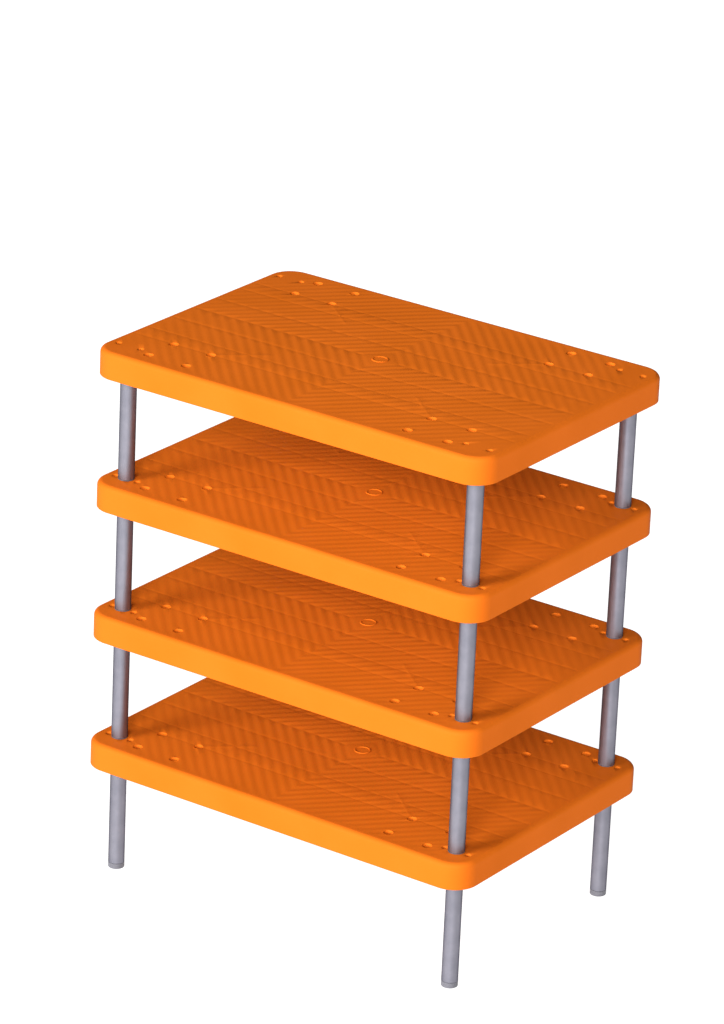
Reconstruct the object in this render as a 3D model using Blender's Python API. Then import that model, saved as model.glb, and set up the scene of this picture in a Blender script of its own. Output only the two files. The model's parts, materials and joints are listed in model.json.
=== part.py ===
"""A stack of four low stands: moulded decks on tubular legs, each stand lifting off the one below.

Frame: the origin is on the floor under the middle of the decks, +X runs along the decks' long side,
+Y points to the rear and +Z is up. Every length is in metres.
"""

import math

import bmesh
import bpy

# Stack
TIERS = 4
TIER_PITCH = 0.210
FLOOR_CLEARANCE = 0.175
GAP = 0.0003

# Deck moulding
DECK_LENGTH = 0.700
DECK_WIDTH = 0.490
DECK_HEIGHT = 0.042
CORNER_RADIUS = 0.040
TOP_FILLET = 0.008
SKIN = 0.004
RIB_THICKNESS = 0.003
RIB_DEPTH = 0.016
END_RIB_RECESS = 0.010
CORNER_STEPS = 5
FILLET_STEPS = 2

# Underside ribs: distances from the middle, each used on both sides. The end ribs tie the leg sockets.
LONG_RIBS_Y = (0.0, 0.055, 0.114, 0.180)
CROSS_RIBS_X = (0.0, 0.105, 0.210)
END_RIB_X = 0.310

# Leg positions and the holes beside them, measured from the middle of the deck
LEG_X = 0.310
LEG_Y = 0.200
LARGE_HOLES_X = (0.197, 0.266)
LARGE_HOLES_Y = (0.151, 0.2115)
LARGE_HOLE_RADIUS = 0.0073
SMALL_HOLE_OFFSET_X = 0.0205
SMALL_HOLE_RADIUS = 0.0045
LARGE_BOSS_WALL = 0.0025
SMALL_BOSS_WALL = 0.0020
HOLE_SIDES = 8

# Leg tube
TUBE_RADIUS = 0.0125
TUBE_WALL = 0.0015
TUBE_SIDES = 16
LEG_DROP = 0.166
SOCKET_WEB = 0.0087
SOCKET_WALL = 0.0030

# Fittings in the tube ends
FITTING_SIDES = 12
COLLAR_HEIGHT = 0.0027
PLUG_DEPTH = 0.028
SPIGOT_RADIUS = 0.0073
SPIGOT_HEIGHT = 0.026
TIP_CHAMFER = 0.002
BUSH_DEPTH = 0.025
END_EDGE = 0.001

# Distances below a deck's top face
TUBE_TOP = SOCKET_WEB + COLLAR_HEIGHT + 2 * GAP
TUBE_BOTTOM = DECK_HEIGHT + LEG_DROP

TUBE_BORE = TUBE_RADIUS - TUBE_WALL
PLUG_RADIUS = TUBE_BORE - GAP
SOCKET_RADIUS = TUBE_RADIUS + GAP
COLLAR_RADIUS = TUBE_RADIUS - GAP
SPIGOT_HOLE_RADIUS = SPIGOT_RADIUS + GAP

CORNERS = {
    "front_left": (-1, -1),
    "front_right": (1, -1),
    "rear_right": (1, 1),
    "rear_left": (-1, 1),
}
SMOOTH_ANGLE = math.radians(35)
OVERSHOOT = 0.005


def clear_scene():
    for item in list(bpy.data.objects):
        bpy.data.objects.remove(item, do_unlink=True)


def finish(name, colour, roughness, metallic=0.0):
    material = bpy.data.materials.new(name)
    material.use_nodes = True
    shader = material.node_tree.nodes["Principled BSDF"]
    shader.inputs["Base Color"].default_value = (*colour, 1.0)
    shader.inputs["Roughness"].default_value = roughness
    shader.inputs["Metallic"].default_value = metallic
    return material


def mesh_from(bm, name):
    bmesh.ops.recalc_face_normals(bm, faces=bm.faces)
    mesh = bpy.data.meshes.new(name)
    bm.to_mesh(mesh)
    bm.free()
    return mesh


def place(mesh, name, location=(0.0, 0.0, 0.0)):
    placed = bpy.data.objects.new(name, mesh)
    placed.location = location
    bpy.context.scene.collection.objects.link(placed)
    return placed


def loft(name, loops):
    """A closed solid through loops of equal length, with a flat cap on the first and the last."""
    bm = bmesh.new()
    rings = [[bm.verts.new(point) for point in loop] for loop in loops]
    for lower, upper in zip(rings, rings[1:]):
        for i in range(len(lower)):
            j = (i + 1) % len(lower)
            bm.faces.new((lower[i], lower[j], upper[j], upper[i]))
    bm.faces.new(list(reversed(rings[0])))
    bm.faces.new(rings[-1])
    return mesh_from(bm, name)


def rounded_outline(length, width, radius, z):
    points = []
    for quarter, (sx, sy) in enumerate(((1, 1), (-1, 1), (-1, -1), (1, -1))):
        centre_x = sx * (length / 2 - radius)
        centre_y = sy * (width / 2 - radius)
        for step in range(CORNER_STEPS + 1):
            angle = math.pi / 2 * (quarter + step / CORNER_STEPS)
            points.append((centre_x + radius * math.cos(angle), centre_y + radius * math.sin(angle), z))
    return points


def circle(radius, z, sides):
    angles = [2 * math.pi * i / sides for i in range(sides)]
    return [(radius * math.cos(a), radius * math.sin(a), z) for a in angles]


def turned(name, profile, sides=FITTING_SIDES):
    """A solid of revolution about Z: profile is (radius, z) from the bottom face to the top face."""
    return loft(name, [circle(radius, z, sides) for radius, z in profile])


def ring(name, outer, inner, sides):
    """A pipe about Z: the outer and inner profiles both run from the bottom to the top."""
    bm = bmesh.new()
    loops = [circle(radius, z, sides) for radius, z in list(outer) + list(reversed(inner))]
    rings = [[bm.verts.new(point) for point in loop] for loop in loops]
    for lower, upper in zip(rings, rings[1:] + rings[:1]):
        for i in range(sides):
            j = (i + 1) % sides
            bm.faces.new((lower[i], lower[j], upper[j], upper[i]))
    return mesh_from(bm, name)


def block(name, low, high):
    (x0, y0, z0), (x1, y1, z1) = low, high
    floor = ((x0, y0, z0), (x1, y0, z0), (x1, y1, z0), (x0, y1, z0))
    return loft(name, [floor, [(x, y, z1) for x, y, _ in floor]])


def cut(target, tool):
    modifier = target.modifiers.new(tool.name, "BOOLEAN")
    modifier.operation = "DIFFERENCE"
    modifier.object = tool


def settled_mesh(source, name):
    """The mesh that the source object's modifiers make, as a mesh of its own."""
    graph = bpy.context.evaluated_depsgraph_get()
    mesh = bpy.data.meshes.new_from_object(source.evaluated_get(graph), depsgraph=graph)
    mesh.name = name
    return mesh


def both_sides(distances):
    return sorted({sign * distance for distance in distances for sign in (-1, 1)})


def joined(name, meshes_at):
    """One object holding separate closed bodies that don't touch, for use as a cutter."""
    bm = bmesh.new()
    for mesh, (x, y) in meshes_at:
        first = len(bm.verts)
        bm.from_mesh(mesh)
        bm.verts.ensure_lookup_table()
        for vertex in bm.verts[first:]:
            vertex.co.x += x
            vertex.co.y += y
    return place(mesh_from(bm, name), name)


def leg_positions():
    return [(sx * LEG_X, sy * LEG_Y) for sx, sy in CORNERS.values()]


def deck_outer():
    """The outside of a deck, its top face at z = 0, with a rolled top edge."""
    loops = [rounded_outline(DECK_LENGTH, DECK_WIDTH, CORNER_RADIUS, -DECK_HEIGHT)]
    for step in range(FILLET_STEPS + 1):
        angle = math.pi / 2 * step / FILLET_STEPS
        inset = TOP_FILLET * (1 - math.cos(angle))
        z = TOP_FILLET * (math.sin(angle) - 1)
        length = DECK_LENGTH - 2 * inset
        width = DECK_WIDTH - 2 * inset
        loops.append(rounded_outline(length, width, CORNER_RADIUS - inset, z))
    return place(loft("deck_outer", loops), "deck_outer")


def hole_places():
    """Where a deck's holes are: four large and two small ones at each corner."""
    large = []
    small = []
    for sx, sy in CORNERS.values():
        large += [(sx * x, sy * y) for x in LARGE_HOLES_X for y in LARGE_HOLES_Y]
        small += [(sx * LEG_X + offset, sy * LEG_Y) for offset in both_sides((SMALL_HOLE_OFFSET_X,))]
    return large, small


def round_bars(name, low, high, extra_large=0.0, extra_small=0.0):
    """An upright bar at every hole, as wide as the hole or wider by the extra radius."""
    large_places, small_places = hole_places()
    large = turned(name, [(LARGE_HOLE_RADIUS + extra_large, z) for z in (low, high)], HOLE_SIDES)
    small = turned(name, [(SMALL_HOLE_RADIUS + extra_small, z) for z in (low, high)], HOLE_SIDES)
    return joined(name, [(large, at) for at in large_places] + [(small, at) for at in small_places])


def deck_hollow():
    """The space under a deck's skin: one pocket less the ribs, the holes' bosses and the leg sockets."""
    inner_length = DECK_LENGTH - 2 * SKIN
    inner_width = DECK_WIDTH - 2 * SKIN
    below = -DECK_HEIGHT - OVERSHOOT
    pocket_loops = [
        rounded_outline(inner_length, inner_width, CORNER_RADIUS - SKIN, z) for z in (below, -SKIN)
    ]
    hollow = place(loft("deck_hollow", pocket_loops), "deck_hollow")
    half_rib = RIB_THICKNESS / 2
    rib_low = -SKIN - RIB_DEPTH
    end_rib_low = -DECK_HEIGHT + END_RIB_RECESS
    for y in both_sides(LONG_RIBS_Y):
        low = (-DECK_LENGTH / 2, y - half_rib, rib_low)
        high = (DECK_LENGTH / 2, y + half_rib, OVERSHOOT)
        cut(hollow, place(block("long_rib", low, high), "long_rib"))
    cross_ribs = [(x, rib_low) for x in both_sides(CROSS_RIBS_X)]
    end_ribs = [(x, end_rib_low) for x in both_sides((END_RIB_X,))]
    for x, z in cross_ribs + end_ribs:
        low = (x - half_rib, -DECK_WIDTH / 2, z)
        high = (x + half_rib, DECK_WIDTH / 2, OVERSHOOT)
        cut(hollow, place(block("cross_rib", low, high), "cross_rib"))
    cut(hollow, round_bars("hole_bosses", rib_low, OVERSHOOT, LARGE_BOSS_WALL, SMALL_BOSS_WALL))
    socket_radius = SOCKET_RADIUS + SOCKET_WALL
    socket = turned("socket_wall", [(socket_radius, -DECK_HEIGHT), (socket_radius, OVERSHOOT)])
    cut(hollow, joined("socket_walls", [(socket, at) for at in leg_positions()]))
    return hollow


def leg_sockets():
    """The bores that take the leg tubes, open at the underside."""
    bore_ends = (-DECK_HEIGHT - OVERSHOOT, -SOCKET_WEB)
    bore = turned("socket_bore", [(SOCKET_RADIUS, z) for z in bore_ends], TUBE_SIDES)
    return joined("socket_bores", [(bore, at) for at in leg_positions()])


def spigot_holes():
    """The openings in a deck's top face that the couplers pass through."""
    hole_ends = (-DECK_HEIGHT / 2, OVERSHOOT)
    hole = turned("spigot_hole", [(SPIGOT_HOLE_RADIUS, z) for z in hole_ends])
    return joined("spigot_holes", [(hole, at) for at in leg_positions()])


def deck_meshes():
    """The lower decks' mesh, open where the couplers pass, and the top deck's, closed there."""
    deck = deck_outer()
    deck_holes = round_bars("deck_holes", -DECK_HEIGHT / 2, OVERSHOOT)
    for tool in (deck_hollow(), deck_holes, leg_sockets()):
        cut(deck, tool)
    closed = settled_mesh(deck, "top_deck")
    cut(deck, spigot_holes())
    lower = settled_mesh(deck, "lower_deck")
    clear_scene()
    return lower, closed


def tube_mesh():
    ends = (-TUBE_BOTTOM, -TUBE_TOP)
    return ring("leg_tube", [(TUBE_RADIUS, z) for z in ends], [(TUBE_BORE, z) for z in ends], TUBE_SIDES)


def plug_profile():
    """The lower part of a coupler, and the whole of a top plug: a stub in the tube and a collar on it."""
    collar_low = -TUBE_TOP + GAP
    return [
        (PLUG_RADIUS, collar_low - PLUG_DEPTH),
        (PLUG_RADIUS, collar_low),
        (COLLAR_RADIUS, collar_low),
        (COLLAR_RADIUS, collar_low + COLLAR_HEIGHT),
    ]


def coupler_profile():
    collar_top = -SOCKET_WEB - GAP
    return plug_profile() + [
        (SPIGOT_RADIUS, collar_top),
        (SPIGOT_RADIUS, SPIGOT_HEIGHT - TIP_CHAMFER),
        (SPIGOT_RADIUS - TIP_CHAMFER, SPIGOT_HEIGHT),
    ]


def bush_mesh():
    """A liner in the lower end of an upper leg, bored to drop over a coupler's spigot."""
    flange_low = -TIER_PITCH + GAP
    flange_top = -TUBE_BOTTOM - GAP
    outer = [
        (TUBE_RADIUS - END_EDGE, flange_low),
        (TUBE_RADIUS, flange_low + END_EDGE),
        (TUBE_RADIUS, flange_top),
        (PLUG_RADIUS, flange_top),
        (PLUG_RADIUS, flange_top + BUSH_DEPTH),
    ]
    inner = [(SPIGOT_HOLE_RADIUS, flange_low), (SPIGOT_HOLE_RADIUS, flange_top + BUSH_DEPTH)]
    return ring("end_bush", outer, inner, FITTING_SIDES)


def foot_mesh():
    """A closed plug in the lower end of a bottom leg, which stands on the floor."""
    floor = -DECK_HEIGHT - FLOOR_CLEARANCE
    flange_top = -TUBE_BOTTOM - GAP
    profile = [
        (TUBE_RADIUS - END_EDGE, floor),
        (TUBE_RADIUS, floor + END_EDGE),
        (TUBE_RADIUS, flange_top),
        (PLUG_RADIUS, flange_top),
        (PLUG_RADIUS, flange_top + BUSH_DEPTH),
    ]
    return turned("foot", profile)


def build():
    clear_scene()
    lower_deck, top_deck = deck_meshes()
    meshes = {
        "leg": tube_mesh(),
        "coupler": turned("coupler", coupler_profile()),
        "plug": turned("plug", plug_profile()),
        "bush": bush_mesh(),
        "foot": foot_mesh(),
    }
    deck_material = finish("deck_orange", (0.85, 0.20, 0.02), 0.5)
    materials = {
        "leg": finish("leg_steel", (0.45, 0.45, 0.49), 0.35, 1.0),
        "coupler": finish("coupler_grey", (0.10, 0.10, 0.11), 0.5),
        "plug": finish("plug_grey", (0.10, 0.10, 0.11), 0.5),
        "bush": finish("bush_grey", (0.45, 0.45, 0.47), 0.5),
        "foot": finish("foot_grey", (0.45, 0.45, 0.47), 0.5),
    }
    for kind, mesh in meshes.items():
        mesh.materials.append(materials[kind])
    for mesh in (lower_deck, top_deck):
        mesh.materials.clear()
        mesh.materials.append(deck_material)
    for mesh in (lower_deck, top_deck, *meshes.values()):
        mesh.shade_smooth()
        mesh.set_sharp_from_angle(angle=SMOOTH_ANGLE)

    for tier in range(1, TIERS + 1):
        is_top = tier == TIERS
        deck_top = DECK_HEIGHT + FLOOR_CLEARANCE + (tier - 1) * TIER_PITCH
        lift_axis = bpy.data.objects.new(f"tier_{tier}", None)
        lift_axis.location = (0.0, 0.0, deck_top)
        bpy.context.scene.collection.objects.link(lift_axis)
        place(top_deck if is_top else lower_deck, f"tier_{tier}_deck").parent = lift_axis
        fittings = ("leg", "foot" if tier == 1 else "bush", "plug" if is_top else "coupler")
        for corner, (sx, sy) in CORNERS.items():
            for kind in fittings:
                piece = place(meshes[kind], f"tier_{tier}_{kind}_{corner}", (sx * LEG_X, sy * LEG_Y, 0.0))
                piece.parent = lift_axis


build()
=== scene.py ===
"""Looks for a stack of four moulded plastic decks on tubular steel legs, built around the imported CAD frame.

Lengths are in metres, in the frame's own axes: +X along the decks' long side, +Y to the rear, +Z up.
"""

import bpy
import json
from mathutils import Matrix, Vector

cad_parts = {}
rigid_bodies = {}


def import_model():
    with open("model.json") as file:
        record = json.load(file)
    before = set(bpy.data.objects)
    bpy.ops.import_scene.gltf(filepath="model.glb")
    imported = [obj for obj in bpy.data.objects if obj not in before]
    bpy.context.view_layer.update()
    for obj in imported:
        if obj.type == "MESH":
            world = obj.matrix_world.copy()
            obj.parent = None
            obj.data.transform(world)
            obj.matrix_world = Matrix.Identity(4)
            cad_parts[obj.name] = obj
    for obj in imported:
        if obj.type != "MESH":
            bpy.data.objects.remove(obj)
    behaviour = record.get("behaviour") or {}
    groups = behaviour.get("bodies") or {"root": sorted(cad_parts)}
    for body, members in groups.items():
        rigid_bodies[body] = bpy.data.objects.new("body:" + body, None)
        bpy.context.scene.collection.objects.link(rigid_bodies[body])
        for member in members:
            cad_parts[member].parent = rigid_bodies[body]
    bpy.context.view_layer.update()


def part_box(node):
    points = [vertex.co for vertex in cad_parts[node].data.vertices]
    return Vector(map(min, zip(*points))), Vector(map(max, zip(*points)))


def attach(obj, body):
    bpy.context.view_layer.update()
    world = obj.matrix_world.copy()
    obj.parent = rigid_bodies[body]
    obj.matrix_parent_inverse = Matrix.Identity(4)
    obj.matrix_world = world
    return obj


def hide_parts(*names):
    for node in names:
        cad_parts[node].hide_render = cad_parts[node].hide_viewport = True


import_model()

import json
import math

import bmesh
import bpy
from mathutils import Matrix, Vector

TIERS = (1, 2, 3, 4)
TOP_TIER = TIERS[-1]
CORNERS = ("front_left", "front_right", "rear_right", "rear_left")

# Sizes read from the frame. The heights of the tube, foot, bush and coupler are from the top face of the
# deck that they belong to.
DECK_LOW, DECK_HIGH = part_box("tier_1_deck")
DECK_LENGTH, DECK_WIDTH, DECK_HEIGHT = DECK_HIGH - DECK_LOW
LEG_LOW, LEG_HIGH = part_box("tier_1_leg_rear_right")
LEG_X = (LEG_LOW.x + LEG_HIGH.x) / 2
LEG_Y = (LEG_LOW.y + LEG_HIGH.y) / 2
TUBE_RADIUS = (LEG_HIGH.x - LEG_LOW.x) / 2
TUBE_TOP = LEG_HIGH.z - DECK_HIGH.z
TUBE_BOTTOM = LEG_LOW.z - DECK_HIGH.z
FOOT_LOW, FOOT_HIGH = (corner.z - DECK_HIGH.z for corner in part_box("tier_1_foot_rear_right"))
TIER_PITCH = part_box("tier_2_deck")[1].z - DECK_HIGH.z
BUSH_LOW, BUSH_HIGH = (corner.z - DECK_HIGH.z - TIER_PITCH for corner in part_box("tier_2_bush_rear_right"))
COUPLER_LOW, COUPLER_HIGH = (corner.z - DECK_HIGH.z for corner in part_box("tier_1_coupler_rear_right"))
STACK_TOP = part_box("tier_4_deck")[1].z

# Deck moulding
CORNER_RADIUS = 0.040
TOP_FILLET = 0.008
TOP_FILLET_STEPS = 8
TOP_RINGS = (0.001, 0.005)  # how far inside the fillet the flat top has its two extra rings
BOTTOM_ROUND = 0.0008
SKIN = 0.004
RIB_THICKNESS = 0.003
RIB_TIP = 0.0004
RIB_LOW = -SKIN - 0.016
END_RIB_LOW = -DECK_HEIGHT + 0.010
LONG_RIBS_Y = (0.0, 0.055, 0.114, 0.180)
CROSS_RIBS_X = (0.0, 0.105, 0.210)
END_RIB_X = LEG_X
HOLE_FLARE = 0.0008
LARGE_HOLES_X = (0.197, 0.266)
LARGE_HOLES_Y = (0.151, 0.2115)
LARGE_HOLE_RADIUS = 0.0073
SMALL_HOLE_OFFSET_X = 0.0205
SMALL_HOLE_RADIUS = 0.0045
LARGE_BOSS_WALL = 0.0025
SMALL_BOSS_WALL = 0.0020
SOCKET_WALL = 0.0030
SOCKET_WEB = 0.0087
FIT_GAP = 0.0003
OVERSHOOT = 0.005  # how far a Boolean tool reaches past the face that it cuts

# Ridges on the deck's top face: nested diamonds about the middle
RIDGE_PITCH_X = 0.0220
RIDGE_PITCH_Y = 0.0244
RIDGE_DEPTH = 0.0005
RIDGE_START = 0.036
CUTS_PER_RIDGE = 6
BORDER = 0.014
FADE = 0.012
LEG_PAD_RADIUS = 0.019
END_FADE_X = (0.15, 0.33)  # the ridges get lower from the first to the second, towards the deck's ends
END_FADE = 0.5
CELL = 0.022

# Faint straight lines on the top face: grooves along and across, and a raised diagonal at each corner
LINE_HALF_WIDTH = 0.0018
LINE_DEPTH = 0.00026
LINE_END_FADE = 0.004
LINES_Y = (0.0, 0.055, 0.114, 0.150)
DIAGONAL_ENDS = ((0.125, 0.089), (0.197, 0.151))
DIAGONAL_START_FADE = 0.010
DIAGONAL_END_FADE = (0.006, 0.009)

# Plain ring in the middle of the top face
EMBLEM_RADIUS = 0.0115
EMBLEM_WIDTH = 0.0024
EMBLEM_HEIGHT = 0.0011
EMBLEM_CLEARING = (0.020, 0.030)  # the lines start between these two distances from the middle

# Fittings
TUBE_WALL = 0.0015
SPIGOT_RADIUS = 0.0073
COLLAR_HEIGHT = 0.0027
END_ROUND = 0.001
TIP_ROUND = 0.002
TUBE_EDGE = 0.0003
COLLAR_EDGE = 0.0004
BUSH_EDGE = 0.0006

TUBE_BORE = TUBE_RADIUS - TUBE_WALL
PLUG_RADIUS = TUBE_BORE - FIT_GAP
SOCKET_RADIUS = TUBE_RADIUS + FIT_GAP
SPIGOT_HOLE_RADIUS = SPIGOT_RADIUS + FIT_GAP

# Mesh detail
CORNER_STEPS = 16
HOLE_SIDES = 32
FITTING_SIDES = 48
TUBE_SIDES = 64
SMOOTH_ANGLE = math.radians(28)
FLAT_TOLERANCE = 1e-6
CUT_TOLERANCE = 1e-5
MIRROR_TOLERANCE = 2e-6

# Colours, each a darker and a lighter tone that a noise pattern mixes
DECK_ORANGES = ((0.49, 0.101, 0.006, 1), (0.53, 0.110, 0.008, 1))
STEEL_GREYS = ((0.212, 0.209, 0.247, 1), (0.258, 0.251, 0.292, 1))
END_GREYS = ((0.080, 0.078, 0.092, 1), (0.118, 0.115, 0.133, 1))
COUPLER_BLACKS = ((0.045, 0.045, 0.05, 1), (0.06, 0.06, 0.065, 1))
STEEL_EDGE_TINT = (0.05, 0.05, 0.06, 1)
FLOOR_GREY = (0.2, 0.2, 0.2, 1)
WHITE = (1, 1, 1, 1)

# Stage and camera, with angles in degrees
FLOOR_REACH = 60.0
CAMERA_AZIMUTH = 34.52
CAMERA_ELEVATION = 21.76
CAMERA_ROLL = 2.536
CAMERA_DISTANCE = 7.636
CAMERA_RIGHT_SHIFT = -0.0266
CAMERA_UP_SHIFT = -0.2240
CAMERA_LENS_MM = 182.8
CAMERA_SENSOR_MM = 36.0


# ---------------------------------------------------------------- mesh helpers


def mesh_from(bm, name):
    bmesh.ops.recalc_face_normals(bm, faces=bm.faces)
    mesh = bpy.data.meshes.new(name)
    bm.to_mesh(mesh)
    bm.free()
    return mesh


def place(mesh, name, location=(0.0, 0.0, 0.0)):
    placed = bpy.data.objects.new(name, mesh)
    placed.location = location
    bpy.context.scene.collection.objects.link(placed)
    return placed


def loft(name, loops):
    """A closed solid through loops of equal length, with a flat cap on the first and the last."""
    bm = bmesh.new()
    rings = [[bm.verts.new(point) for point in loop] for loop in loops]
    for lower, upper in zip(rings, rings[1:]):
        for i in range(len(lower)):
            j = (i + 1) % len(lower)
            bm.faces.new((lower[i], lower[j], upper[j], upper[i]))
    bm.faces.new(list(reversed(rings[0])))
    bm.faces.new(rings[-1])
    return mesh_from(bm, name)


def rounded_outline(inset, z):
    """The deck's outline in plan, moved in by an inset, with round corners."""
    radius = CORNER_RADIUS - inset
    points = []
    for quarter, (sx, sy) in enumerate(((1, 1), (-1, 1), (-1, -1), (1, -1))):
        centre_x = sx * (DECK_LENGTH / 2 - CORNER_RADIUS)
        centre_y = sy * (DECK_WIDTH / 2 - CORNER_RADIUS)
        for step in range(CORNER_STEPS + 1):
            angle = math.pi / 2 * (quarter + step / CORNER_STEPS)
            points.append((centre_x + radius * math.cos(angle), centre_y + radius * math.sin(angle), z))
    return points


def circle(radius, z, sides):
    angles = [2 * math.pi * i / sides for i in range(sides)]
    return [(radius * math.cos(a), radius * math.sin(a), z) for a in angles]


def turned(name, profile, sides):
    """A solid of revolution about Z: profile is (radius, z) from the bottom face to the top face."""
    return loft(name, [circle(radius, z, sides) for radius, z in profile])


def ring(name, profile, sides):
    """A closed ring about Z: profile is (radius, z) around its section."""
    bm = bmesh.new()
    rings = [[bm.verts.new(point) for point in circle(radius, z, sides)] for radius, z in profile]
    for lower, upper in zip(rings, rings[1:] + rings[:1]):
        for i in range(sides):
            j = (i + 1) % sides
            bm.faces.new((lower[i], lower[j], upper[j], upper[i]))
    return mesh_from(bm, name)


def rounded(centre, radius, start, end, steps=4):
    """Points (radius, z) on an arc of a turned profile, from a start to an end angle in degrees."""
    angles = [math.radians(start + (end - start) * i / steps) for i in range(steps + 1)]
    return [(centre[0] + radius * math.cos(a), centre[1] + radius * math.sin(a)) for a in angles]


def rib_block(name, x0, x1, y0, y1, low, high, tip_x, tip_y):
    """An upright rib whose lower edge is chamfered along its length."""
    def rectangle(dx, dy, z):
        return [(x0 + dx, y0 + dy, z), (x1 - dx, y0 + dy, z), (x1 - dx, y1 - dy, z), (x0 + dx, y1 - dy, z)]

    return loft(name, [rectangle(tip_x, tip_y, low), rectangle(0, 0, low + RIB_TIP), rectangle(0, 0, high)])


def combine(target, tool, operation="DIFFERENCE"):
    modifier = target.modifiers.new(tool.name, "BOOLEAN")
    modifier.operation = operation
    modifier.object = tool


def settled_mesh(source, name):
    graph = bpy.context.evaluated_depsgraph_get()
    mesh = bpy.data.meshes.new_from_object(source.evaluated_get(graph), depsgraph=graph)
    mesh.name = name
    return mesh


def both_sides(distances):
    return sorted({sign * distance for distance in distances for sign in (-1, 1)})


def joined(name, meshes_at):
    """One object of separate closed bodies that don't touch, for use as a Boolean tool."""
    bm = bmesh.new()
    for mesh, (x, y) in meshes_at:
        first = len(bm.verts)
        bm.from_mesh(mesh)
        bm.verts.ensure_lookup_table()
        for vertex in bm.verts[first:]:
            vertex.co.x += x
            vertex.co.y += y
    return place(mesh_from(bm, name), name)


def smooth_step(value, low, high):
    t = min(1.0, max(0.0, (value - low) / (high - low)))
    return t * t * (3 - 2 * t)


# ---------------------------------------------------------------- decks


def deck_outer():
    """The deck's outside as a solid block with a rolled upper edge, its top face at z = 0."""
    loops = [rounded_outline(BOTTOM_ROUND, -DECK_HEIGHT), rounded_outline(0.0, -DECK_HEIGHT + BOTTOM_ROUND)]
    for step in range(TOP_FILLET_STEPS + 1):
        angle = math.pi / 2 * step / TOP_FILLET_STEPS
        inset, height = TOP_FILLET * (1 - math.cos(angle)), TOP_FILLET * (math.sin(angle) - 1)
        loops.append(rounded_outline(inset, height))
    for inset in TOP_RINGS:
        loops.append(rounded_outline(TOP_FILLET + inset, 0.0))
    return place(loft("deck_outer", loops), "deck_outer")


def deck_hollow():
    """What is cut from the block from below: a pocket, less the ribs, hole bosses and socket walls."""
    pocket = loft("deck_hollow", [rounded_outline(SKIN, z) for z in (-DECK_HEIGHT - OVERSHOOT, -SKIN)])
    hollow = place(pocket, "deck_hollow")
    half = RIB_THICKNESS / 2
    for y in both_sides(LONG_RIBS_Y):
        ends = DECK_LENGTH / 2
        rib = rib_block("long_rib", -ends, ends, y - half, y + half, RIB_LOW, OVERSHOOT, 0.0, RIB_TIP)
        combine(hollow, place(rib, "long_rib"))
    cross_ribs = [(x, RIB_LOW) for x in both_sides(CROSS_RIBS_X)]
    end_ribs = [(x, END_RIB_LOW) for x in both_sides((END_RIB_X,))]
    for x, low in cross_ribs + end_ribs:
        ends = DECK_WIDTH / 2
        rib = rib_block("cross_rib", x - half, x + half, -ends, ends, low, OVERSHOOT, RIB_TIP, 0.0)
        combine(hollow, place(rib, "cross_rib"))
    large = turned("large_boss", boss_profile(LARGE_HOLE_RADIUS + LARGE_BOSS_WALL), FITTING_SIDES)
    small = turned("small_boss", boss_profile(SMALL_HOLE_RADIUS + SMALL_BOSS_WALL), FITTING_SIDES)
    combine(hollow, at_holes("hole_bosses", large, small))
    radius = SOCKET_RADIUS + SOCKET_WALL
    socket = turned("socket_wall", [(radius, -DECK_HEIGHT), (radius, OVERSHOOT)], FITTING_SIDES)
    combine(hollow, joined("socket_walls", [(socket, at) for at in leg_places()]))
    return hollow


def leg_places():
    return [(sx * LEG_X, sy * LEG_Y) for sx in (-1, 1) for sy in (-1, 1)]


def boss_profile(radius):
    return [(radius - RIB_TIP, RIB_LOW), (radius, RIB_LOW + RIB_TIP), (radius, OVERSHOOT)]


def hole_cutter(radius):
    """A through hole's tool, with a small flare at the top face."""
    knee = HOLE_FLARE * 0.3
    profile = [(radius, -DECK_HEIGHT / 2), (radius, -HOLE_FLARE)]
    profile += [(radius + knee, -knee), (radius + HOLE_FLARE, 0.0), (radius + HOLE_FLARE, OVERSHOOT)]
    return turned("hole", profile, HOLE_SIDES)


def at_holes(name, large, small):
    """One tool with the large mesh at every large hole and the small mesh at every small hole."""
    places = []
    for sx in (-1, 1):
        for sy in (-1, 1):
            places += [(large, (sx * x, sy * y)) for x in LARGE_HOLES_X for y in LARGE_HOLES_Y]
            places += [(small, (sx * LEG_X + dx, sy * LEG_Y)) for dx in both_sides((SMALL_HOLE_OFFSET_X,))]
    return joined(name, places)


def leg_sockets():
    profile = [(SOCKET_RADIUS, -DECK_HEIGHT - OVERSHOOT), (SOCKET_RADIUS, -SOCKET_WEB)]
    bore = turned("socket_bore", profile, FITTING_SIDES)
    return joined("socket_bores", [(bore, at) for at in leg_places()])


def spigot_holes():
    return joined("spigot_holes", [(hole_cutter(SPIGOT_HOLE_RADIUS), at) for at in leg_places()])


def emblem():
    """A plain raised ring in the middle of the deck's top face."""
    half, crown = EMBLEM_WIDTH / 2, EMBLEM_WIDTH / 4
    root, shoulder = -SKIN / 2, EMBLEM_HEIGHT / 2
    section = [(EMBLEM_RADIUS - half, root), (EMBLEM_RADIUS - half, shoulder)]
    section += [(EMBLEM_RADIUS - crown, EMBLEM_HEIGHT), (EMBLEM_RADIUS + crown, EMBLEM_HEIGHT)]
    section += [(EMBLEM_RADIUS + half, shoulder), (EMBLEM_RADIUS + half, root)]
    return place(ring("emblem", section, FITTING_SIDES), "emblem")


def border_distance(x, y):
    """How far a point on the top face is inside the start of the rolled edge."""
    corner = CORNER_RADIUS - TOP_FILLET
    dx = x - (DECK_LENGTH / 2 - TOP_FILLET - corner)
    dy = y - (DECK_WIDTH / 2 - TOP_FILLET - corner)
    outside = math.hypot(max(dx, 0.0), max(dy, 0.0))
    return corner - outside - min(max(dx, dy), 0.0)


def line_profile(distance):
    """How strong a faint moulded line is at a distance from its middle, from 0 to 1."""
    return max(0.0, 1 - abs(distance) / LINE_HALF_WIDTH)


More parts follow.
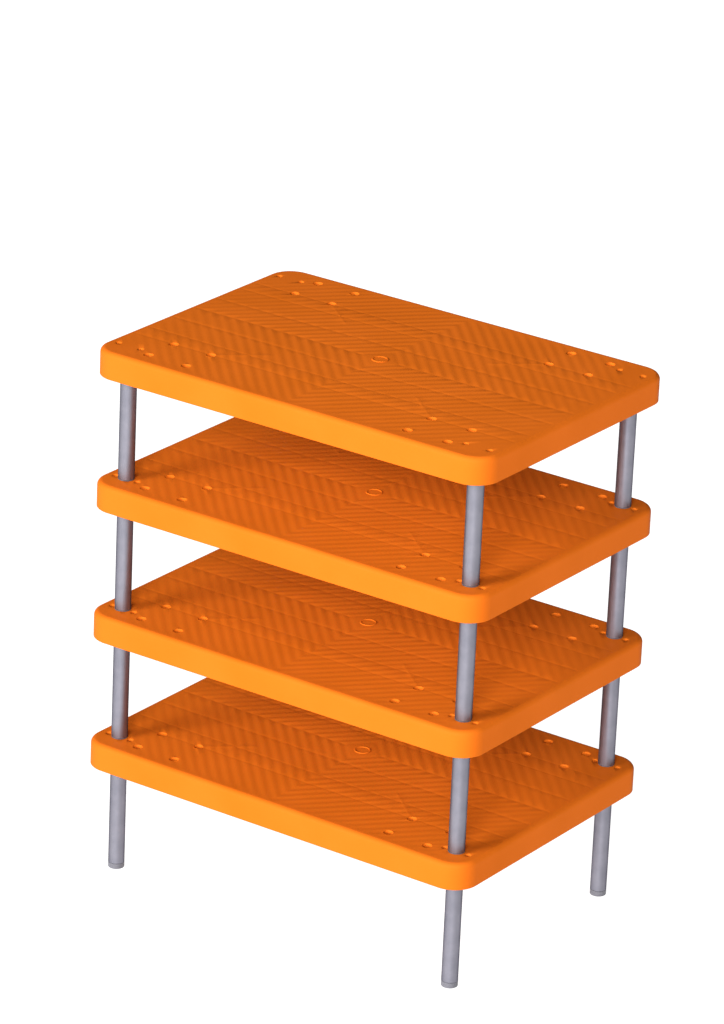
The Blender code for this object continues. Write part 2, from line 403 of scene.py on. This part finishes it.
def diagonal_frame():
    """The diagonal line's start, its direction, the direction across it and its length."""
    start, end = (Vector(point) for point in DIAGONAL_ENDS)
    along = (end - start).normalized()
    return start, along, Vector((-along.y, along.x)), (end - start).length


def top_height(x, y):
    """The height of the top face's pattern at a point of the quarter with x and y positive."""
    edge = border_distance(x, y)
    q = x / RIDGE_PITCH_X + y / RIDGE_PITCH_Y
    fade = smooth_step(edge, BORDER - FADE, BORDER)
    fade *= smooth_step(q * RIDGE_PITCH_X, RIDGE_START - RIDGE_PITCH_X / 2, RIDGE_START)
    fade *= smooth_step(math.hypot(x - LEG_X, y - LEG_Y), LEG_PAD_RADIUS, LEG_PAD_RADIUS + FADE)
    fade *= 1 - END_FADE * smooth_step(x, *END_FADE_X)
    height = -RIDGE_DEPTH * fade * (0.5 - 0.5 * math.cos(2 * math.pi * q))
    reach = smooth_step(edge, 0.0, LINE_END_FADE)
    clear_of_emblem = smooth_step(math.hypot(x, y), *EMBLEM_CLEARING)
    for line_y in LINES_Y:
        height -= LINE_DEPTH * reach * clear_of_emblem * line_profile(y - line_y)
    height -= LINE_DEPTH * clear_of_emblem * line_profile(x) * reach
    start, along, across, length = diagonal_frame()
    offset = Vector((x, y)) - start
    travel = offset.dot(along)
    span = smooth_step(travel, 0.0, DIAGONAL_START_FADE) * smooth_step(length - travel, *DIAGONAL_END_FADE)
    return height + LINE_DEPTH * span * line_profile(offset.dot(across))


def slice_top(bm, geometry, point, normal):
    """Cuts the top face along an upright plane, and gives the face's geometry after the cut."""
    cut = bmesh.ops.bisect_plane(
        bm, geom=geometry, dist=CUT_TOLERANCE, plane_co=(*point, 0.0), plane_no=(*normal, 0.0)
    )
    return cut["geom"]


def top_geometry(bm):
    """The points, edges and faces of the flat top, at z = 0."""
    faces = [f for f in bm.faces if all(abs(v.co.z) < FLAT_TOLERANCE for v in f.verts)]
    edges = {edge for face in faces for edge in face.edges}
    verts = {vertex for face in faces for vertex in face.verts}
    return list(verts) + list(edges) + faces


def pattern_top(bm):
    """Cuts the quarter deck's top face along its pattern and moves the cut face to the pattern's height."""
    geometry = top_geometry(bm)
    for i in range(1, int(DECK_LENGTH / 2 / CELL) + 1):
        geometry = slice_top(bm, geometry, (i * CELL, 0.0), (1.0, 0.0))
    for i in range(1, int(DECK_WIDTH / 2 / CELL) + 1):
        geometry = slice_top(bm, geometry, (0.0, i * CELL), (0.0, 1.0))
    for line_y in LINES_Y:
        for offset in (-LINE_HALF_WIDTH, 0.0, LINE_HALF_WIDTH):
            if line_y + offset > 0:
                geometry = slice_top(bm, geometry, (0.0, line_y + offset), (0.0, 1.0))
    geometry = slice_top(bm, geometry, (LINE_HALF_WIDTH, 0.0), (1.0, 0.0))
    start, along, across, _ = diagonal_frame()
    for offset in (-LINE_HALF_WIDTH, 0.0, LINE_HALF_WIDTH):
        geometry = slice_top(bm, geometry, start + across * offset, across)
    step = RIDGE_PITCH_X / CUTS_PER_RIDGE
    normal = Vector((1 / RIDGE_PITCH_X, 1 / RIDGE_PITCH_Y)).normalized()
    last = int((DECK_LENGTH / 2 + DECK_WIDTH / 2 * RIDGE_PITCH_X / RIDGE_PITCH_Y) / step)
    first = int(RIDGE_START / 2 / step)
    for i in range(first, last):
        geometry = slice_top(bm, geometry, (i * step, 0.0), normal)
    for vertex in {v for v in geometry if isinstance(v, bmesh.types.BMVert)}:
        vertex.co.z = top_height(vertex.co.x, vertex.co.y)


def mirrored_quarter(mesh, name):
    """Keeps the quarter of a deck with x and y positive, adds its pattern and mirrors it round."""
    bm = bmesh.new()
    bm.from_mesh(mesh)
    for normal in ((1, 0, 0), (0, 1, 0)):
        everything = bm.verts[:] + bm.edges[:] + bm.faces[:]
        bmesh.ops.bisect_plane(
            bm, geom=everything, dist=FLAT_TOLERANCE, plane_co=(0, 0, 0), plane_no=normal, clear_inner=True
        )
    pattern_top(bm)
    for axis in "XY":
        everything = bm.verts[:] + bm.edges[:] + bm.faces[:]
        bmesh.ops.mirror(bm, geom=everything, axis=axis, merge_dist=MIRROR_TOLERANCE)
    return mesh_from(bm, name)


def deck_meshes():
    """The lower decks' mesh, open where the couplers pass, and the top deck's, closed there."""
    before = set(bpy.data.objects)
    deck = deck_outer()
    combine(deck, emblem(), "UNION")
    holes = at_holes("deck_holes", hole_cutter(LARGE_HOLE_RADIUS), hole_cutter(SMALL_HOLE_RADIUS))
    for tool in (deck_hollow(), holes, leg_sockets()):
        combine(deck, tool)
    closed = settled_mesh(deck, "top_deck")
    combine(deck, spigot_holes())
    lower = settled_mesh(deck, "lower_deck")
    for helper in set(bpy.data.objects) - before:
        bpy.data.objects.remove(helper, do_unlink=True)
    return mirrored_quarter(lower, "lower_deck_patterned"), mirrored_quarter(closed, "top_deck_patterned")


# ---------------------------------------------------------------- legs and fittings


def tube_mesh():
    section = [(TUBE_BORE, TUBE_BOTTOM), (TUBE_RADIUS - TUBE_EDGE, TUBE_BOTTOM)]
    section += [(TUBE_RADIUS, TUBE_BOTTOM + TUBE_EDGE), (TUBE_RADIUS, TUBE_TOP - TUBE_EDGE)]
    section += [(TUBE_RADIUS - TUBE_EDGE, TUBE_TOP), (TUBE_BORE, TUBE_TOP)]
    return ring("leg_tube", section, TUBE_SIDES)


def plug_profile(collar_low):
    """The outside of a stub in the tube's top and the collar above it, up to the collar's top face."""
    return [
        (PLUG_RADIUS - END_ROUND, COUPLER_LOW),
        (PLUG_RADIUS, COUPLER_LOW + END_ROUND),
        (PLUG_RADIUS, collar_low),
        (TUBE_RADIUS - FIT_GAP, collar_low),
        (TUBE_RADIUS - FIT_GAP, collar_low + COLLAR_HEIGHT - COLLAR_EDGE),
        (TUBE_RADIUS - FIT_GAP - COLLAR_EDGE, collar_low + COLLAR_HEIGHT),
    ]


def coupler_mesh():
    profile = plug_profile(TUBE_TOP + FIT_GAP) + [(SPIGOT_RADIUS, TUBE_TOP + FIT_GAP + COLLAR_HEIGHT)]
    centre = (SPIGOT_RADIUS - TIP_ROUND, COUPLER_HIGH - TIP_ROUND)
    return turned("coupler", profile + rounded(centre, TIP_ROUND, 0, 90), FITTING_SIDES)


def plug_mesh():
    return turned("plug", plug_profile(TUBE_TOP + FIT_GAP), FITTING_SIDES)


def lower_end_profile(low, flange_top, top):
    """The outside of a leg's lower end piece: a rounded flange under the tube and a stub inside it."""
    arc = rounded((TUBE_RADIUS - END_ROUND, low + END_ROUND), END_ROUND, -90, 0, 5)
    return arc + [(TUBE_RADIUS, flange_top), (PLUG_RADIUS, flange_top), (PLUG_RADIUS, top)]


def bush_mesh():
    section = lower_end_profile(BUSH_LOW, TUBE_BOTTOM - FIT_GAP, BUSH_HIGH)
    section += [(SPIGOT_HOLE_RADIUS, BUSH_HIGH), (SPIGOT_HOLE_RADIUS, BUSH_LOW + BUSH_EDGE)]
    section += [(SPIGOT_HOLE_RADIUS + BUSH_EDGE, BUSH_LOW)]
    return ring("bush", section, TUBE_SIDES)


def foot_mesh():
    return turned("foot", lower_end_profile(FOOT_LOW, TUBE_BOTTOM - FIT_GAP, FOOT_HIGH), TUBE_SIDES)


# ---------------------------------------------------------------- materials


class Nodes:
    """A short way to write a material's node tree."""

    def __init__(self, name):
        self.material = bpy.data.materials.new(name)
        self.material.use_nodes = True
        self.tree = self.material.node_tree
        self.shader = self.tree.nodes["Principled BSDF"]

    def add(self, kind, inputs=None, **settings):
        node = self.tree.nodes.new(kind)
        for key, value in settings.items():
            setattr(node, key, value)
        for key, value in (inputs or {}).items():
            self.feed(node, key, value)
        return node

    def feed(self, node, key, value):
        if isinstance(value, bpy.types.NodeSocket):
            self.tree.links.new(value, node.inputs[key])
        else:
            node.inputs[key].default_value = value

    def set(self, **inputs):
        for key, value in inputs.items():
            self.feed(self.shader, key.replace("_", " "), value)

    def position(self, scale=(1.0, 1.0, 1.0)):
        coordinates = self.add("ShaderNodeTexCoord")
        mapping = self.add("ShaderNodeMapping", {"Vector": coordinates.outputs["Object"], "Scale": scale})
        return mapping.outputs["Vector"]

    def noise(self, vector, scale, detail):
        inputs = {"Vector": vector, "Scale": scale, "Detail": detail, "Roughness": 0.5}
        return self.add("ShaderNodeTexNoise", inputs).outputs["Fac"]

    def remap(self, value, from_range, to_range):
        """Maps a noise value from one range to another, held inside it."""
        inputs = {"Value": value, "From Min": from_range[0], "From Max": from_range[1]}
        inputs.update({"To Min": to_range[0], "To Max": to_range[1]})
        return self.add("ShaderNodeMapRange", inputs).outputs["Result"]

    def mix(self, factor, first, second):
        """A colour mix; the node's sockets repeat their names, so they are taken by number."""
        node = self.add("ShaderNodeMix", data_type="RGBA")
        self.feed(node, 0, factor)
        self.feed(node, 6, first)
        self.feed(node, 7, second)
        return node.outputs[2]

    def bump(self, height, strength, distance):
        inputs = {"Height": height, "Strength": strength, "Distance": distance}
        return self.add("ShaderNodeBump", inputs).outputs["Normal"]


def deck_material():
    """Matt moulded plastic with a faint mottle and a fine grain."""
    nodes = Nodes("deck_orange_moulded")
    place_at = nodes.position()
    mottle = nodes.noise(place_at, scale=9.0, detail=3.0)
    grain = nodes.noise(place_at, scale=900.0, detail=2.0)
    base = nodes.mix(nodes.remap(mottle, (0.3, 0.7), (0.0, 1.0)), *DECK_ORANGES)
    nodes.set(Base_Color=base, Roughness=nodes.remap(grain, (0.3, 0.7), (0.50, 0.60)))
    nodes.set(Normal=nodes.bump(grain, strength=0.25, distance=0.0002), Specular_IOR_Level=0.02)
    return nodes.material


def steel_material():
    """Satin steel tube with fine drawing streaks along its length."""
    nodes = Nodes("leg_steel_satin")
    streaks = nodes.noise(nodes.position((1.0, 1.0, 0.03)), scale=700.0, detail=3.0)
    cloud = nodes.noise(nodes.position(), scale=45.0, detail=4.0)
    base = nodes.mix(nodes.remap(cloud, (0.3, 0.7), (0.0, 1.0)), *STEEL_GREYS)
    nodes.set(Base_Color=base, Metallic=0.95, Roughness=nodes.remap(streaks, (0.3, 0.7), (0.40, 0.47)))
    nodes.set(Specular_IOR_Level=0.2, Specular_Tint=STEEL_EDGE_TINT)
    nodes.set(Normal=nodes.bump(streaks, strength=0.15, distance=0.0001))
    return nodes.material


def fitting_material(name, tones, roughness):
    """Speckled plastic in two close tones."""
    nodes = Nodes(name)
    speckle = nodes.noise(nodes.position(), scale=1400.0, detail=2.0)
    base = nodes.mix(nodes.remap(speckle, (0.42, 0.58), (0.0, 1.0)), *tones)
    normal = nodes.bump(speckle, strength=0.3, distance=0.0002)
    nodes.set(Base_Color=base, Roughness=roughness, Normal=normal)
    return nodes.material


def floor_material():
    nodes = Nodes("floor_pale")
    nodes.set(Base_Color=FLOOR_GREY, Roughness=0.9, Specular_IOR_Level=0.0)
    nodes.set(Emission_Color=WHITE, Emission_Strength=1.0)
    return nodes.material


# ---------------------------------------------------------------- assembly


def finish_mesh(mesh, material):
    mesh.materials.clear()
    mesh.materials.append(material)
    mesh.shade_smooth()
    mesh.set_sharp_from_angle(angle=SMOOTH_ANGLE)


def add_piece(mesh, name, location, body, node):
    piece = place(mesh, name, location)
    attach(piece, body)
    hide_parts(node)


def build_stack():
    """Places a piece over every CAD node; pieces of one kind share a mesh."""
    lower_deck, top_deck = deck_meshes()
    orange = deck_material()
    finish_mesh(lower_deck, orange)
    finish_mesh(top_deck, orange)
    end_plastic = fitting_material("end_grey_plastic", END_GREYS, roughness=0.5)
    coupler_plastic = fitting_material("coupler_dark_plastic", COUPLER_BLACKS, roughness=0.45)
    kinds = {
        "leg": (tube_mesh(), steel_material(), "leg_steel"),
        "foot": (foot_mesh(), end_plastic, "end_plastic"),
        "bush": (bush_mesh(), end_plastic, "end_plastic"),
        "coupler": (coupler_mesh(), coupler_plastic, "coupler_plastic"),
        "plug": (plug_mesh(), coupler_plastic, "coupler_plastic"),
    }
    for mesh, material, _ in kinds.values():
        finish_mesh(mesh, material)
    for tier in TIERS:
        body = f"tier_{tier}"
        deck_node = f"{body}_deck"
        deck_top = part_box(deck_node)[1].z
        deck = top_deck if tier == TOP_TIER else lower_deck
        add_piece(deck, f"deck_{tier}_moulding", (0, 0, deck_top), body, deck_node)
        fittings = ("leg", "foot" if tier == 1 else "bush", "plug" if tier == TOP_TIER else "coupler")
        for corner in CORNERS:
            for kind in fittings:
                mesh, _, slot = kinds[kind]
                node = f"{body}_{kind}_{corner}"
                low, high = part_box(node)
                at = ((low.x + high.x) / 2, (low.y + high.y) / 2, deck_top)
                add_piece(mesh, f"{kind}_{tier}_{corner}", at, body, node)


# ---------------------------------------------------------------- stage, light and camera


def add_floor():
    corners = [(sx * FLOOR_REACH, sy * FLOOR_REACH, 0) for sx, sy in ((-1, -1), (1, -1), (1, 1), (-1, 1))]
    bm = bmesh.new()
    bm.faces.new([bm.verts.new(corner) for corner in corners])
    mesh = mesh_from(bm, "floor")
    mesh.materials.append(floor_material())
    place(mesh, "floor")


def from_side(azimuth, elevation):
    """The direction to a light; the azimuth is measured from the front towards the left, in degrees."""
    a, e = math.radians(azimuth), math.radians(elevation)
    return Vector((-math.sin(a) * math.cos(e), -math.cos(a) * math.cos(e), math.sin(e)))


def add_light(name, kind, power, towards, location=(0.0, 0.0, 0.0)):
    light = bpy.data.lights.new(name, kind)
    light.energy = power
    lamp = bpy.data.objects.new(name, light)
    lamp.location = location
    lamp.rotation_euler = towards.to_track_quat("Z", "Y").to_euler()
    bpy.context.scene.collection.objects.link(lamp)
    return light


def add_sun(name, strength, azimuth, elevation, spread):
    """A soft sun; its spread is the width of its disc in degrees."""
    add_light(name, "SUN", strength, from_side(azimuth, elevation)).angle = math.radians(spread)


def add_panel(name, power, size, azimuth, elevation, distance, aim):
    """A square light panel at a distance from the point it aims at."""
    towards = from_side(azimuth, elevation)
    add_light(name, "AREA", power, towards, aim + towards * distance).size = size


def add_world(strength):
    world = bpy.data.worlds.new("studio")
    world.use_nodes = True
    background = world.node_tree.nodes["Background"]
    background.inputs["Color"].default_value = WHITE
    background.inputs["Strength"].default_value = strength
    bpy.context.scene.world = world


def add_camera(aim):
    """Aims the camera near a point, then rolls it and moves it in its own plane by the two shifts."""
    angles = (CAMERA_AZIMUTH, CAMERA_ELEVATION, CAMERA_ROLL)
    azimuth, elevation, roll = (math.radians(angle) for angle in angles)
    level_back = Vector((math.sin(azimuth), -math.cos(azimuth), 0.0))
    back = level_back * math.cos(elevation) + Vector((0.0, 0.0, math.sin(elevation)))
    level_right = Vector((math.cos(azimuth), math.sin(azimuth), 0.0))
    level_up = back.cross(level_right)
    right = math.cos(roll) * level_right + math.sin(roll) * level_up
    up = math.cos(roll) * level_up - math.sin(roll) * level_right
    position = aim + CAMERA_RIGHT_SHIFT * right + CAMERA_UP_SHIFT * up + CAMERA_DISTANCE * back
    data = bpy.data.cameras.new("camera")
    data.sensor_width = CAMERA_SENSOR_MM
    data.lens = CAMERA_LENS_MM
    camera = bpy.data.objects.new("camera", data)
    turn = Matrix((right, up, back)).transposed().to_4x4()
    camera.matrix_world = Matrix.Translation(position) @ turn
    bpy.context.scene.collection.objects.link(camera)
    bpy.context.scene.camera = camera


build_stack()
add_floor()
deck_middle = Vector((0.0, 0.0, STACK_TOP))
front_edge = deck_middle - Vector((0.0, DECK_WIDTH / 2, 0.0))
add_world(strength=0.10)
add_sun("key_left", strength=4.3, azimuth=22, elevation=19.5, spread=26)
add_sun("key_right", strength=4.8, azimuth=-26, elevation=19.5, spread=26)
add_panel("high", power=4.0, size=0.6, azimuth=0, elevation=42, distance=1.0, aim=front_edge)
add_panel("side", power=5.0, size=1.0, azimuth=-66, elevation=11, distance=2.0, aim=deck_middle)
add_camera(deck_middle)
bpy.context.scene.view_settings.view_transform = "Standard"
